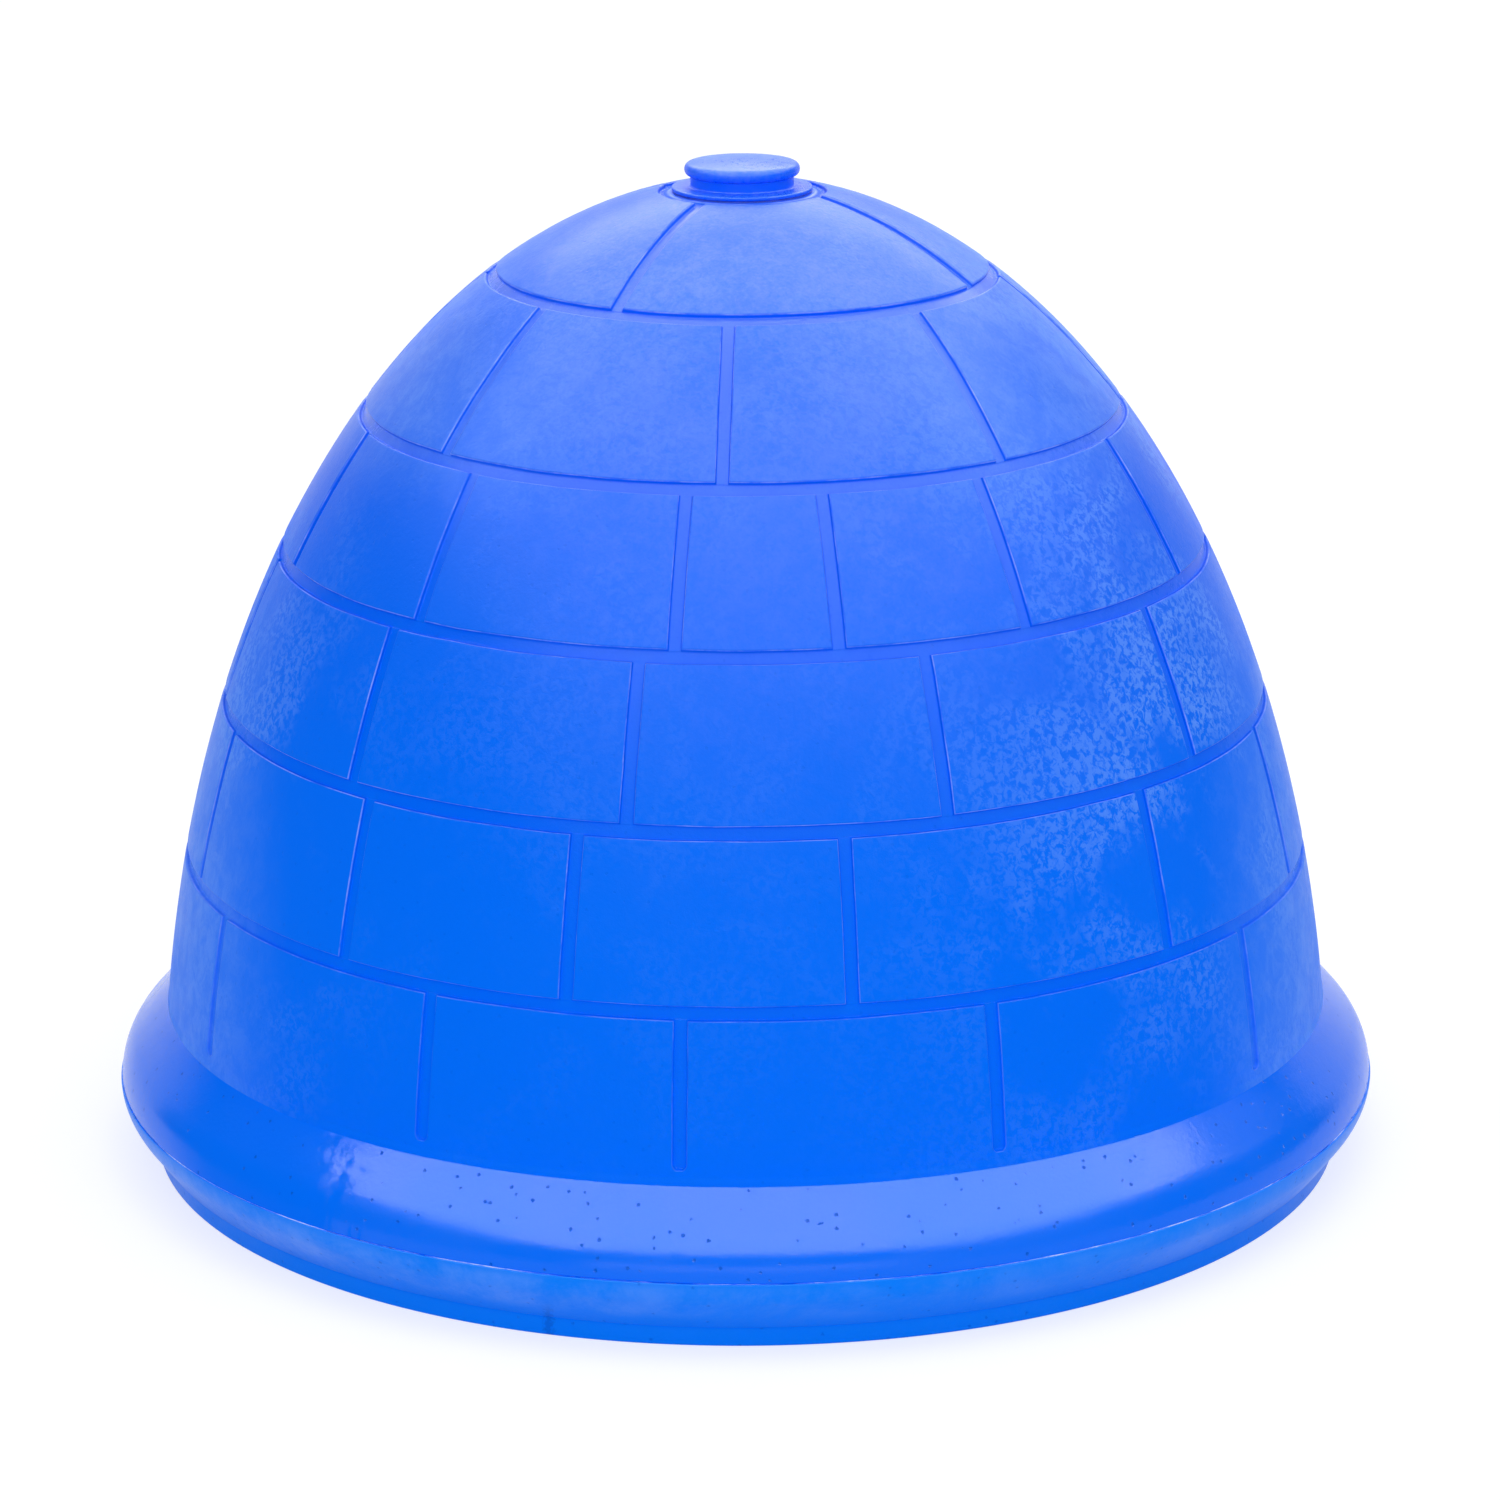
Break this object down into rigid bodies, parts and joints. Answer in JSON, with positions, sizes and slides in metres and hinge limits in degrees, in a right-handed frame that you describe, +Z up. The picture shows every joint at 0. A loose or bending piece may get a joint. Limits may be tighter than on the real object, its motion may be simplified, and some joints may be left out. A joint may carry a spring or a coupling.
{
  "type": "dog house",
  "caption": "Igloo-shaped dog house: a single-wall moulded dome with block relief and an arched doorway, on a round floor pan, with a capped air vent at the crown.",
  "frame": {"origin": "on the ground, straight under the crown of the dome", "axes": "+Z up through the vent, -Y out of the doorway, +X to the right when facing the doorway's back"},
  "size_m": [0.956, 0.956, 0.7469],
  "materials": {
    "dome_plastic": "matte, cloudy moulded polyethylene",
    "pan_plastic": "matte moulded polyethylene, a little smoother than the dome",
    "vent_plastic": "matte injection-moulded plastic",
    "seal_rubber": "plain black rubber"
  },
  "bodies": {
    "pan": {"floor_pan": "pan_plastic"},
    "dome": {"dome_shell": "dome_plastic", "vent_gasket": "seal_rubber", "vent_neck": "vent_plastic", "vent_locknut": "vent_plastic"},
    "cap": {"vent_cap": "vent_plastic"}
  },
  "joints": [
    {"name": "dome_lift", "type": "slide", "parent": "pan", "child": "dome", "axis": [0, 0, 1], "range_m": [0, 0.15]},
    {"name": "vent_cap_lift", "type": "slide", "parent": "dome", "child": "cap", "axis": [0, 0, 1], "range_m": [0, 0.06]}
  ]
}
